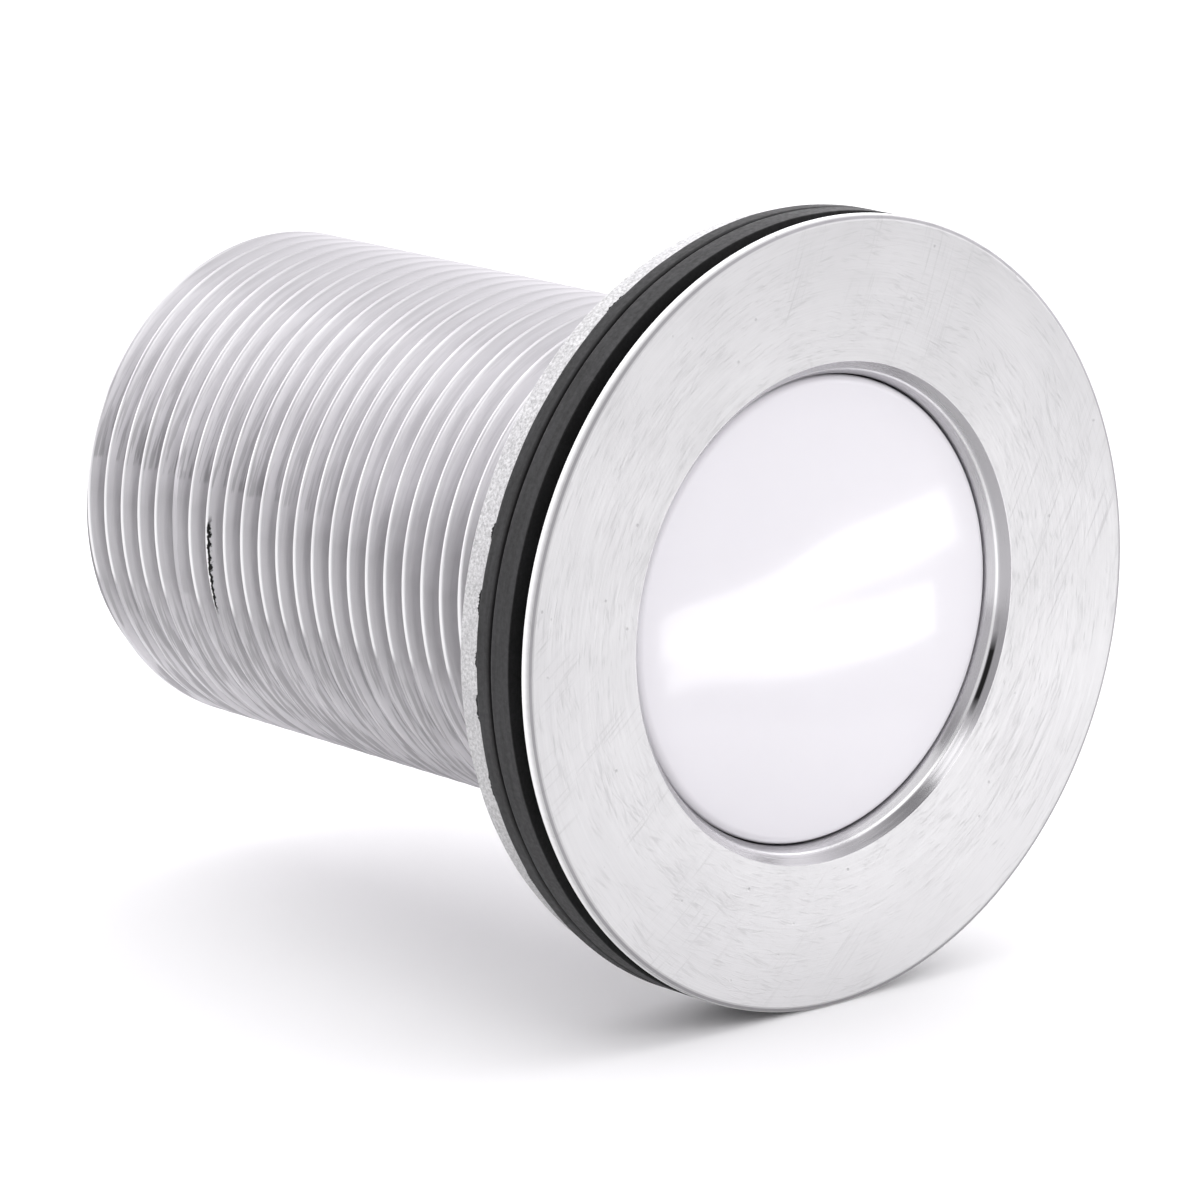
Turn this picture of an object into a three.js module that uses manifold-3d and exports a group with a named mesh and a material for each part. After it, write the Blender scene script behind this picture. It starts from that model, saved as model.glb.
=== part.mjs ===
// Flanged through-hull fitting with a push-to-open plug in its mouth.
// Millimetres. The axis is Y: outboard is -Y, inboard is +Y, and y = 0 is the face that bears on the hull.
import * as THREE from "three";
import { mergeVertices } from "three/addons/utils/BufferGeometryUtils.js";
import Module from "manifold-3d";

const wasm = await Module();
wasm.setup();

// Driving sizes
const THREAD_DIAMETER = 41.91;
const THREAD_PITCH = 2.309;
const TUBE_LENGTH = 62;
const FLANGE_LEDGE = 10.8;
const GASKET_THICKNESS = 2.1;
const LINER_THICKNESS = 1.4;
const WASHER_THICKNESS = 2.7;
const WALL = 2.28;
const BARREL_RADIUS = 9;
const STEM_RADIUS = 3;
const STROKE = 8;
const PRESS_TRAVEL = 1;
const INDEX_ANGLE = Math.PI / 4;
const GAP = 0.3;

// Radii of the body, from the thread inwards and outwards
const threadDepth = 0.6403 * THREAD_PITCH;
const headWall = 2.095;
const lipChamferWidth = 0.685;
const lipTaperWidth = 0.54;
const tailLedge = 1.2;
const crestRadius = THREAD_DIAMETER / 2;
const rootRadius = crestRadius - threadDepth;
const boreRadius = rootRadius - WALL;
const tailBoreRadius = boreRadius - tailLedge;
const headBoreRadius = crestRadius - headWall;
const mouthRadius = headBoreRadius + lipTaperWidth + lipChamferWidth;
const rimRadius = crestRadius + FLANGE_LEDGE;
const ringHoleRadius = crestRadius + GAP;

// Stations of the clamped stack, outboard from the hull face
const washerFront = -WASHER_THICKNESS;
const linerBack = washerFront - GAP;
const linerFront = linerBack - LINER_THICKNESS;
const gasketBack = linerFront - GAP;
const gasketFront = gasketBack - GASKET_THICKNESS;
const flangeBack = gasketFront - GAP;
const flangeThickness = 2.1;
const face = flangeBack - flangeThickness;
const threadStart = -1.5;

// The flange's edge, from its chamfer to the bevel behind it
const rimChamferWidth = 0.42;
const rimChamferDepth = 0.15;
const rimCrown = 0.07;
const rimLand = 0.8;
const rimBevel = 2.55;

// Mouth and seat of the plug inside the flange
const dish = 1;
const lipChamferDepth = 0.77;
const lipTaperDepth = 1.13;
const seatDepth = 5.2;
const seatHeight = 2.5;
const seatTop = face + seatDepth;
const seatEnd = seatTop + seatHeight;
const seatSlope = (headBoreRadius - boreRadius) / seatHeight;

// Stations of the head, all in the closed position
const capClearance = 0.095;
const capRadius = headBoreRadius - capClearance;
const capDepth = 1.6;
const capRise = 0.84;
const capRound = 0.71;
const capSkirt = 1.35;
const capCrown = face + capDepth;
const capShoulder = capCrown + capRise;
const capBack = capShoulder + capRound + capSkirt;
const carrierThickness = 1.4;
const carrierFront = capBack + GAP;
const carrierBack = carrierFront + carrierThickness;
const sealThickness = 1.3;
const sealFront = carrierBack + GAP;
const sealBack = sealFront + sealThickness;
const clampThickness = 1.4;
const clampFront = sealBack + GAP;
const clampBack = clampFront + clampThickness;
const bossRadius = STEM_RADIUS + 2;
const bossReach = 1.7;
const bossEnd = clampBack + bossReach;
const bossFloor = carrierBack + 0.4;
const threadedEndRadius = STEM_RADIUS - 0.6;
const locknutHeight = 2.3;
const locknutFront = bossEnd + GAP;
const locknutBack = locknutFront + locknutHeight;
const stemShoulder = locknutBack + 0.6;

// Stations of the cartridge below it
const bushClearance = 3.4;
const bushHeadHeight = 3.5;
const bushTailHeight = 2;
const bushFront = locknutBack + PRESS_TRAVEL + bushClearance;
const bushFlange = bushFront + bushHeadHeight;
const bushEnd = bushFlange + bushTailHeight;
const endPlay = 0.7;
const crownHeight = 3.5;
const rotorHeight = 4;
const pinReach = 0.2;
const crownFront = bushEnd + GAP + STROKE + endPlay;
const crownBack = crownFront + crownHeight;
const rotorFront = crownBack + GAP;
const rotorBack = rotorFront + rotorHeight;
const pinEnd = rotorBack + pinReach;
const springFront = rotorBack + GAP;
const sleeveFront = bushEnd + GAP;
const sleeveBack = rotorBack + PRESS_TRAVEL + endPlay;
const springLength = 0.8125 * STROKE;
const springBack = springFront + springLength;
const barrelBase = 2.5;
const barrelFloor = springBack + GAP;
const barrelBack = barrelFloor + barrelBase;
const bridgeHeight = 5.5;
const bridgeFront = barrelBack + GAP;
const bridgeBack = bridgeFront + bridgeHeight;
const ledge = bridgeBack + GAP;
const clipThickness = 1.2;
const clipBack = bridgeFront - GAP;
const clipFront = clipBack - clipThickness;
const hubWasherThickness = 1;
const hubNutHeight = 3.5;
const hubWasherFront = bridgeBack + GAP;
const hubWasherBack = hubWasherFront + hubWasherThickness;
const hubNutFront = hubWasherBack + GAP;
const hubNutBack = hubNutFront + hubNutHeight;
const spigotReach = 1.7;
const spigotEnd = hubNutBack + spigotReach;

// Radii of the cartridge, from the barrel inwards
const barrelWall = 1.4;
const chamberStep = 0.7;
const sleeveWall = 0.6;
const slotDepth = 1;
const barrelBore = BARREL_RADIUS - barrelWall;
const chamberRadius = barrelBore - chamberStep;
const sleeveOuter = barrelBore - GAP;
const slotRadius = sleeveOuter - sleeveWall;
const ribRadius = slotRadius - GAP;
const landRadius = ribRadius - slotDepth;
const rotorCore = landRadius - GAP;
const pinRadius = STEM_RADIUS - 1;
const stemFlat = 0.86 * STEM_RADIUS;
const wiperWire = 0.6;
const wiperRadius = STEM_RADIUS + wiperWire + 0.35;
const springWire = 0.45;
const springRadius = rotorCore - springWire - 0.2;
const spigotRadius = 2.85;
const hubHole = spigotRadius + GAP;
const clipGrooveDepth = 1;
const clipGroove = boreRadius + clipGrooveDepth;

// The index: ribs on the rotor that run in slots, and notched end faces
const RIBS = 4;
const NOTCHES = 8;
const ribHalfAngle = 0.12;
const turnPerMm = INDEX_ANGLE / STROKE;
const twistStep = Math.PI / 30;

// How far one solid runs into the next where they join, and tools run past what they cut
const OVERLAP = 0.5;
const PAST = 1;

const FINE = 60;
const MEDIUM = 40;
const SMALL = 24;
const THREAD_SEGMENTS = 24;

// A closed manifold from a three.js geometry, without its seams and its empty triangles
function toSolid(geometry) {
  const bare = geometry.clone();
  bare.deleteAttribute("normal");
  bare.deleteAttribute("uv");
  const merged = mergeVertices(bare, 1e-4);
  const index = Array.from(merged.index.array);
  const kept = [];
  for (let i = 0; i < index.length; i += 3) {
    const [a, b, c] = index.slice(i, i + 3);
    if (a !== b && b !== c && c !== a) kept.push(a, b, c);
  }
  const mesh = new wasm.Mesh({
    numProp: 3,
    vertProperties: new Float32Array(merged.attributes.position.array),
    triVerts: new Uint32Array(kept),
  });
  return new wasm.Manifold(mesh);
}

// A solid turned about Y. The outline closes on itself and runs inboard up its outer side.
function turned(outline, segments) {
  const points = outline.map(([radius, y]) => new THREE.Vector2(Math.max(radius, 0), y));
  points.push(points[0].clone());
  return toSolid(new THREE.LatheGeometry(points, segments));
}

function ring(inner, outer, front, back, segments) {
  return turned([[inner, front], [outer, front], [outer, back], [inner, back]], segments);
}

function rod(radius, front, back, segments) {
  return turned([[0, front], [radius, front], [radius, back], [0, back]], segments);
}

function block(width, height, depth, x, y, z, turnY = 0) {
  const box = new THREE.BoxGeometry(width, height, depth);
  box.translate(x, y, z);
  box.rotateY(turnY);
  return toSolid(box);
}

// A hexagonal prism about Y with a round hole
function hexNut(acrossFlats, hole, front, back) {
  const corner = acrossFlats / Math.sqrt(3);
  const chamferWidth = 0.072 * acrossFlats;
  const chamferHeight = 0.042 * acrossFlats;
  const cone = turned(
    [
      [0, front],
      [corner - chamferWidth, front],
      [corner, front + chamferHeight],
      [corner, back - chamferHeight],
      [corner - chamferWidth, back],
      [0, back],
    ],
    SMALL,
  );
  return rod(corner, front, back, 6).intersect(cone).subtract(rod(hole, front - PAST, back + PAST, SMALL));
}

// Points of a quarter ellipse from start to end, bulging towards the corner
function roundedCorner(start, end, corner, steps) {
  const points = [];
  for (let i = 0; i <= steps; i += 1) {
    const angle = (i / steps) * (Math.PI / 2);
    const fromStart = 1 - Math.sin(angle);
    const fromEnd = 1 - Math.cos(angle);
    points.push([
      corner[0] + (start[0] - corner[0]) * fromStart + (end[0] - corner[0]) * fromEnd,
      corner[1] + (start[1] - corner[1]) * fromStart + (end[1] - corner[1]) * fromEnd,
    ]);
  }
  return points;
}

// The thread's corners along one turn, as [radius, share of the pitch]
const threadForm = [
  [rootRadius, 0.08],
  [crestRadius, 0.43],
  [crestRadius, 0.57],
  [rootRadius, 0.92],
];

// The thread's radius where a plane cuts it, at a share of the pitch from 0 to 1
function threadRadiusAt(share) {
  const [foot, crest, crestEnd, end] = threadForm.map((corner) => corner[1]);
  const rise = (share - foot) / (crest - foot);
  const fall = (end - share) / (end - crestEnd);
  const climb = Math.min(Math.max(Math.min(rise, fall), 0), 1);
  return rootRadius + threadDepth * climb;
}

// A solid rod with the helical thread round it, cut square at both ends
function threadedRod(from, to) {
  const turns = Math.ceil((to - from) / THREAD_PITCH);
  const rows = [];
  for (let turn = -2; turn <= turns; turn += 1) {
    for (const [radius, share] of threadForm) rows.push([radius, from + (turn + share) * THREAD_PITCH]);
  }
  const positions = [];
  for (let i = 0; i <= THREAD_SEGMENTS; i += 1) {
    const angle = (i / THREAD_SEGMENTS) * 2 * Math.PI;
    const lead = (i / THREAD_SEGMENTS) * THREAD_PITCH;
    positions.push(0, from, 0);
    for (const [formRadius, station] of rows) {
      const y = Math.min(Math.max(station + lead, from), to);
      const share = ((((y - lead - from) / THREAD_PITCH) % 1) + 1) % 1;
      const radius = y === station + lead ? formRadius : threadRadiusAt(share);
      positions.push(radius * Math.sin(angle), y, radius * Math.cos(angle));
    }
    positions.push(0, to, 0);
  }
  const count = rows.length + 2;
  const index = [];
  for (let i = 0; i < THREAD_SEGMENTS; i += 1) {
    for (let j = 0; j < count - 1; j += 1) {
      const a = i * count + j;
      index.push(a, a + count, a + 1, a + 1, a + count, a + count + 1);
    }
  }
  const geometry = new THREE.BufferGeometry();
  geometry.setAttribute("position", new THREE.Float32BufferAttribute(positions, 3));
  geometry.setIndex(index);
  return toSolid(geometry);
}

// A flat outline in X and Z, extruded inboard and twisted so that ribs in its slots turn as they slide
function twisted(shape, front, back) {
  const steps = Math.ceil((turnPerMm * (back - front)) / twistStep);
  const extruded = new THREE.ExtrudeGeometry(shape, { depth: back - front, steps, bevelEnabled: false });
  extruded.rotateX(-Math.PI / 2);
  const place = extruded.attributes.position;
  for (let i = 0; i < place.count; i += 1) {
    const y = front + place.getY(i);
    const turn = turnPerMm * y;
    const x = place.getX(i);
    const z = place.getZ(i);
    place.setXYZ(i, x * Math.cos(turn) + z * Math.sin(turn), y, z * Math.cos(turn) - x * Math.sin(turn));
  }
  return toSolid(extruded);
}

// A round outline that steps between two radii, once for each rib
function lobedPoints(highRadius, lowRadius, highHalfAngle) {
  const points = [];
  const spacing = (2 * Math.PI) / RIBS;
  const edge = 0.01;
  const steps = 6;
  for (let lobe = 0; lobe < RIBS; lobe += 1) {
    const middle = lobe * spacing;
    for (const [radius, half, centre] of [
      [highRadius, highHalfAngle, middle],
      [lowRadius, spacing / 2 - highHalfAngle - edge, middle + spacing / 2],
    ]) {
      for (let i = 0; i <= steps; i += 1) {
        const angle = centre - half + (2 * half * i) / steps;
        points.push(new THREE.Vector2(radius * Math.cos(angle), radius * Math.sin(angle)));
      }
    }
  }
  return points;
}

// Radial V notches cut into a face of the crown or the rotor
function notched(solid, y) {
  const width = 1.1;
  const length = 4 * BARREL_RADIUS;
  const core = pinRadius + 0.7;
  let result = solid;
  for (let i = 0; i < NOTCHES; i += 1) {
    const notch = new THREE.BoxGeometry(width, width, length);
    notch.rotateZ(Math.PI / 4);
    notch.translate(0, y, core + length / 2);
    notch.rotateY((i * 2 * Math.PI) / NOTCHES);
    result = result.subtract(toSolid(notch));
  }
  return result;
}

function hullBody() {
  const tubeEnd = TUBE_LENGTH;
  const endChamfer = 0.75;
  const tailChamfer = 0.5;
  const lipFront = face + dish;
  const lipMiddle = lipFront + lipChamferDepth;
  const flange = turned(
    [
      [0, lipFront],
      [mouthRadius, lipFront],
      [rimRadius - rimCrown - rimChamferWidth, face],
      [rimRadius - rimCrown, face + rimChamferDepth],
      [rimRadius, face + rimLand],
      [rimRadius - rimBevel, flangeBack],
      [crestRadius, flangeBack],
      [crestRadius, threadStart],
      [0, threadStart],
    ],
    FINE,
  );
  const tubeStart = threadStart - PAST;
  const ends = turned(
    [
      [0, tubeStart],
      [crestRadius + PAST, tubeStart],
      [crestRadius + PAST, tubeEnd - PAST - endChamfer],
      [crestRadius - endChamfer, tubeEnd],
      [0, tubeEnd],
    ],
    FINE,
  );
  const tube = threadedRod(tubeStart, tubeEnd).intersect(ends);
  const bore = turned(
    [
      [0, face - PAST],
      [mouthRadius, face - PAST],
      [mouthRadius, lipFront],
      [mouthRadius - lipChamferWidth, lipMiddle],
      [headBoreRadius, lipMiddle + lipTaperDepth],
      [headBoreRadius, seatTop],
      [boreRadius, seatEnd],
      [boreRadius, clipFront - GAP],
      [clipGroove, clipFront - GAP],
      [clipGroove, clipBack + GAP],
      [boreRadius, clipBack + GAP],
      [boreRadius, ledge],
      [tailBoreRadius, ledge],
      [tailBoreRadius, tubeEnd - tailChamfer],
      [tailBoreRadius + tailChamfer, tubeEnd],
      [tailBoreRadius + tailChamfer, tubeEnd + PAST],
      [0, tubeEnd + PAST],
    ],
    MEDIUM,
  );
  return flange.add(tube).subtract(bore);
}

function gasket() {
  return ring(ringHoleRadius, rimRadius, gasketFront, gasketBack, FINE);
}

function liner() {
  return ring(ringHoleRadius, rimRadius, linerFront, linerBack, FINE);
}

// Slightly smaller than the flange, with its inboard edge bevelled
function backingWasher() {
  const outer = rimRadius - 0.8;
  const bevel = 0.3;
  return turned(
    [
      [ringHoleRadius, washerFront],
      [outer, washerFront],
      [outer, -bevel],
      [outer - bevel, 0],
      [ringHoleRadius, 0],
    ],
    FINE,
  );
}

// A shallow dome on a straight skirt
function plugCap() {
  const shoulderWidth = 0.8;
  const backChamfer = 0.5;
  const shoulder = capRadius - shoulderWidth;
  const steps = 5;
  const dome = [];
  for (let i = 0; i < steps; i += 1) {
    const share = i / steps;
    dome.push([share * shoulder, capCrown + capRise * share * share]);
  }
  const corner = roundedCorner(
    [shoulder, capShoulder],
    [capRadius, capShoulder + capRound],
    [capRadius, capShoulder],
    4,
  );
  const back = [
    [capRadius, capBack - backChamfer],
    [capRadius - backChamfer, capBack],
    [0, capBack],
  ];
  return turned([...dome, ...corner, ...back], FINE);
}

function plugCarrier() {
  const outer = boreRadius + 0.1;
  const chamfer = 0.4;
  const body = turned(
    [
      [0, carrierFront],
      [outer, carrierFront],
      [outer, carrierBack - chamfer],
      [outer - chamfer, carrierBack],
      [bossRadius, carrierBack],
      [bossRadius, bossEnd],
      [0, bossEnd],
    ],
    MEDIUM,
  );
  return body.subtract(rod(threadedEndRadius + GAP, bossFloor, bossEnd + PAST, SMALL));
}

// The seal's edge follows the conical seat a small clearance away
function seatRadiusAt(y) {
  return Math.max(boreRadius, headBoreRadius - seatSlope * (y - seatTop));
}

// A disc with a thin lip at its edge and a shallow recess behind it
function plugSeal() {
  const clearance = GAP * Math.hypot(1, seatSlope);
  const lipThickness = 2.4;
  const recess = 0.3;
  const edge = seatRadiusAt(sealBack) - clearance;
  return turned(
    [
      [bossRadius + GAP, sealFront],
      [seatRadiusAt(sealFront) - clearance, sealFront],
      [edge, sealBack],
      [edge - lipThickness, sealBack],
      [edge - lipThickness - recess, sealBack - recess],
      [bossRadius + 2, sealBack - recess],
      [bossRadius + GAP, sealBack],
    ],
    MEDIUM,
  );
}

function sealClamp() {
  const outer = boreRadius - 3.7;
  const chamfer = 0.5;
  return turned(
    [
      [bossRadius + GAP, clampFront],
      [outer, clampFront],
      [outer, clampBack - chamfer],
      [outer - chamfer, clampBack],
      [bossRadius + GAP, clampBack],
    ],
    MEDIUM,
  );
}

function stemLocknut() {
  return hexNut(2.8 * STEM_RADIUS, threadedEndRadius + GAP, locknutFront, locknutBack);
}

// The plunger's stem has two flats, so that it can't turn in the bush
function plunger() {
  const stem = rod(STEM_RADIUS, stemShoulder, crownFront + OVERLAP, SMALL).intersect(
    block(2 * stemFlat, 4 * BARREL_RADIUS, 4 * STEM_RADIUS, 0, (stemShoulder + crownFront) / 2, 0),
  );
  const threadedEnd = rod(threadedEndRadius, bossFloor + GAP, stemShoulder + OVERLAP, SMALL);
  const crown = notched(rod(rotorCore, crownFront, crownBack, MEDIUM), crownBack + GAP / 2);
  const pin = rod(pinRadius, crownBack - OVERLAP, pinEnd, SMALL);
  return threadedEnd.add(stem).add(crown).add(pin);
}

function camRotor() {
  const shape = new THREE.Shape(lobedPoints(ribRadius, rotorCore, ribHalfAngle));
  const bored = twisted(shape, rotorFront, rotorBack).subtract(
    rod(pinRadius + GAP, rotorFront - PAST, rotorBack + PAST, SMALL),
  );
  return notched(bored, rotorFront - GAP / 2);
}

// Each slot is wider than its rib by a clearance on both flanks
function camSleeve() {
  const slotHalfAngle = ribHalfAngle + (1.35 * GAP) / landRadius;
  const shape = new THREE.Shape().absarc(0, 0, sleeveOuter, 0, 2 * Math.PI, false);
  shape.holes.push(new THREE.Path(lobedPoints(slotRadius, landRadius, slotHalfAngle)));
  return twisted(shape, sleeveFront, sleeveBack);
}

// A round-wire spring with most of a coil closed at each end
class SpringPath extends THREE.Curve {
  getPoint(t) {
    const coils = 5;
    const closed = 0.75;
    const creep = 1.02 * springWire * 2 * closed;
    const low = springFront + springWire;
    const high = springBack - springWire;
    const turn = t * coils;
    const angle = turn * 2 * Math.PI;
    const active = Math.min(Math.max((turn - closed) / (coils - 2 * closed), 0), 1);
    const ends = Math.min(turn, closed) + Math.max(turn - coils + closed, 0);
    const y = low + (ends / closed) * creep + active * (high - low - 2 * creep);
    return new THREE.Vector3(springRadius * Math.sin(angle), y, springRadius * Math.cos(angle));
  }
}

function returnSpring() {
  const sides = 6;
  const wire = new THREE.Shape();
  for (let i = 0; i < sides; i += 1) {
    const angle = (i * 2 * Math.PI) / sides;
    const move = i === 0 ? "moveTo" : "lineTo";
    wire[move](springWire * Math.cos(angle), springWire * Math.sin(angle));
  }
  const options = { steps: 75, extrudePath: new SpringPath(), bevelEnabled: false };
  return toSolid(new THREE.ExtrudeGeometry(wire, options));
}

function barrel() {
  const backChamfer = 0.8;
  const spigotChamfer = 0.5;
  const body = turned(
    [
      [0, bushFlange + GAP],
      [BARREL_RADIUS, bushFlange + GAP],
      [BARREL_RADIUS, barrelBack - backChamfer],
      [BARREL_RADIUS - backChamfer, barrelBack],
      [spigotRadius, barrelBack],
      [spigotRadius, spigotEnd - spigotChamfer],
      [spigotRadius - spigotChamfer, spigotEnd],
      [0, spigotEnd],
    ],
    MEDIUM,
  );
  const inside = turned(
    [
      [0, bushFlange - PAST],
      [barrelBore, bushFlange - PAST],
      [barrelBore, sleeveBack + GAP],
      [chamberRadius, sleeveBack + GAP],
      [chamberRadius, barrelFloor],
      [0, barrelFloor],
    ],
    MEDIUM,
  );
  return body.subtract(inside);
}

// A flanged bush with a flatted hole and a pocket for the wiper
function barrelBush() {
  const chamfer = 0.6;
  const pocketRadius = wiperRadius + wiperWire + GAP;
  const pocketFloor = bushFront + 2 * wiperWire + 0.7;
  const body = turned(
    [
      [0, bushFront],
      [BARREL_RADIUS - chamfer, bushFront],
      [BARREL_RADIUS, bushFront + chamfer],
      [BARREL_RADIUS, bushFlange],
      [barrelBore - GAP, bushFlange],
      [barrelBore - GAP, bushEnd],
      [0, bushEnd],
    ],
    MEDIUM,
  );
  const hole = rod(STEM_RADIUS + GAP, bushFront - PAST, bushEnd + PAST, SMALL).intersect(
    block(2 * (stemFlat + GAP), 4 * BARREL_RADIUS, 4 * STEM_RADIUS, 0, (bushFront + bushEnd) / 2, 0),
  );
  return body.subtract(hole).subtract(rod(pocketRadius, bushFront - PAST, pocketFloor, SMALL));
}

function stemWiper() {
  const torus = new THREE.TorusGeometry(wiperRadius, wiperWire, 8, SMALL);
  torus.rotateX(Math.PI / 2);
  torus.translate(0, bushFront + wiperWire + 0.4, 0);
  return toSolid(torus);
}

// A ring and a hub joined by four arms
function bridge() {
  const ringWidth = 2;
  const armWidth = 2.6;
  const armHeight = bridgeHeight - 1;
  const outer = boreRadius - GAP;
  const inner = outer - ringWidth;
  const hubRadius = 0.72 * BARREL_RADIUS;
  const middle = bridgeFront + bridgeHeight / 2;
  const reach = (outer + inner) / 2;
  let solid = ring(inner, outer, bridgeFront, bridgeBack, MEDIUM);
  solid = solid.add(rod(hubRadius, bridgeFront, bridgeBack, MEDIUM));
  for (const turn of [Math.PI / 4, -Math.PI / 4]) {
    solid = solid.add(block(2 * reach, armHeight, armWidth, 0, middle, 0, turn));
  }
  return solid.subtract(rod(hubHole, bridgeFront - PAST, bridgeBack + PAST, SMALL));
}

// An open spring clip for the groove in the bore, with an eyed lug at each end
function bridgeClip() {
  const outer = clipGroove - GAP;
  const inner = boreRadius - 1.1;
  const halfOpening = 0.28;
  const lugRadius = 1.5;
  const eyeRadius = 0.6;
  const shape = new THREE.Shape();
  shape.absarc(0, 0, outer, halfOpening, 2 * Math.PI - halfOpening, false);
  shape.absarc(0, 0, inner, 2 * Math.PI - halfOpening, halfOpening, true);
  shape.closePath();
  const flat = new THREE.ExtrudeGeometry(shape, {
    depth: clipThickness,
    bevelEnabled: false,
    curveSegments: SMALL,
  });
  flat.rotateX(-Math.PI / 2);
  flat.translate(0, clipFront, 0);
  let clip = toSolid(flat);
  const reach = boreRadius - GAP - lugRadius;
  for (const side of [-1, 1]) {
    const angle = side * (halfOpening + lugRadius / reach);
    const place = [reach * Math.cos(angle), 0, reach * Math.sin(angle)];
    clip = clip.add(rod(lugRadius, clipFront, clipBack, SMALL / 2).translate(place));
    clip = clip.subtract(rod(eyeRadius, clipFront - PAST, clipBack + PAST, SMALL / 2).translate(place));
  }
  return clip;
}

function hubWasher() {
  return ring(hubHole, 2 * spigotRadius, hubWasherFront, hubWasherBack, SMALL);
}

function hubNut() {
  return hexNut(3.5 * spigotRadius, hubHole, hubNutFront, hubNutBack);
}

// Colours and finishes, one per kind of surface
const finishes = {
  turnedMetal: { color: 0xdcdbdf, roughness: 0.34, metalness: 0.95 },
  castMetal: { color: 0xcfced0, roughness: 0.62, metalness: 0.8 },
  rubber: { color: 0x3b3b3d, roughness: 0.78, metalness: 0 },
  seal: { color: 0x26272a, roughness: 0.7, metalness: 0 },
  glaze: { color: 0xf6f5f6, roughness: 0.08, metalness: 0 },
  brass: { color: 0xb99a55, roughness: 0.4, metalness: 0.9 },
  steel: { color: 0xa9abb0, roughness: 0.32, metalness: 1 },
  acetal: { color: 0xe4e1d8, roughness: 0.5, metalness: 0 },
  greyAcetal: { color: 0x7b7f86, roughness: 0.5, metalness: 0 },
};

const pieces = [
  ["hull_body", hullBody, "turnedMetal"],
  ["outer_gasket", gasket, "rubber"],
  ["inner_gasket", liner, "rubber"],
  ["backing_washer", backingWasher, "castMetal"],
  ["plug_cap", plugCap, "glaze"],
  ["plug_carrier", plugCarrier, "brass"],
  ["plug_seal", plugSeal, "seal"],
  ["seal_clamp", sealClamp, "brass"],
  ["stem_locknut", stemLocknut, "brass"],
  ["plunger", plunger, "steel"],
  ["cam_rotor", camRotor, "greyAcetal"],
  ["cam_sleeve", camSleeve, "acetal"],
  ["return_spring", returnSpring, "steel"],
  ["cartridge_barrel", barrel, "brass"],
  ["barrel_bush", barrelBush, "acetal"],
  ["stem_wiper", stemWiper, "seal"],
  ["bridge", bridge, "brass"],
  ["bridge_clip", bridgeClip, "steel"],
  ["hub_washer", hubWasher, "steel"],
  ["hub_nut", hubNut, "brass"],
];

function toMesh(name, solid, finish) {
  const data = solid.getMesh();
  const geometry = new THREE.BufferGeometry();
  geometry.setAttribute("position", new THREE.BufferAttribute(new Float32Array(data.vertProperties), 3));
  geometry.setIndex(new THREE.BufferAttribute(new Uint32Array(data.triVerts), 1));
  geometry.computeVertexNormals();
  const mesh = new THREE.Mesh(geometry, new THREE.MeshStandardMaterial(finishes[finish]));
  mesh.name = name;
  return mesh;
}

const fitting = new THREE.Group();
fitting.name = "thru_hull_fitting";
for (const [name, build, finish] of pieces) {
  fitting.add(toMesh(name, build(), finish));
}

export default fitting;
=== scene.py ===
"""A flanged through-hull fitting with a push-to-open plug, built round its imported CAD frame.

Lengths are in millimetres until a mesh is made. The fitting's axis is Y, -Y is outboard, +Z is up."""

import math

import bpy
import numpy as np
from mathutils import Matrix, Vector


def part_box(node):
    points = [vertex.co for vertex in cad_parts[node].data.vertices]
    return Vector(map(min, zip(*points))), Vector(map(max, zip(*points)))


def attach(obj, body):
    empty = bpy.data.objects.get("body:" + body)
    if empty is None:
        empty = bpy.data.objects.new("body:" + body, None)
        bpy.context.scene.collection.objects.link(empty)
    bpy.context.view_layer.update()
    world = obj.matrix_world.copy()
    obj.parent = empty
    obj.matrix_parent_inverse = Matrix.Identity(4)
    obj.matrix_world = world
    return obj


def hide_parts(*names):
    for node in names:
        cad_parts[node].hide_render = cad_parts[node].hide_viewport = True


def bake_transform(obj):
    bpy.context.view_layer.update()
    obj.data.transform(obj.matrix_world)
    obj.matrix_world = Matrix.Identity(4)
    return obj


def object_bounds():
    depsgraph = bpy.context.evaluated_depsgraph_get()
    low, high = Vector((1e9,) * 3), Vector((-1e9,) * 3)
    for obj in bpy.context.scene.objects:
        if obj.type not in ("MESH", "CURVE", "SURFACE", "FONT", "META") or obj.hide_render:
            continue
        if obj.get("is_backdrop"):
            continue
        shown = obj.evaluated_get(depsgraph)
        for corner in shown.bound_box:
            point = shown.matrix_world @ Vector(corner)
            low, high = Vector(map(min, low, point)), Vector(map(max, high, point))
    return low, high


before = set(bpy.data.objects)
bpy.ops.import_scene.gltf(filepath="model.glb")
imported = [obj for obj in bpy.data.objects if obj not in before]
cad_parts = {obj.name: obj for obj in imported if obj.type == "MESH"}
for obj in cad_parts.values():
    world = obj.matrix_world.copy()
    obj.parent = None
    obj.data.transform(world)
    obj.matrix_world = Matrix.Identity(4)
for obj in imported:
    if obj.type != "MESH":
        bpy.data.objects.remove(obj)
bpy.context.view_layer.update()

MM = 0.001
SEED = 7

# Columns round a turned piece. Those of the ribbed ones and the nuts are in step with their corners
FINE = 256
MEDIUM = 128
RIBBED = 288
SIX_SIDED = 144

# Lengths closer than this count as equal
NEAR = 1e-6

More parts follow.
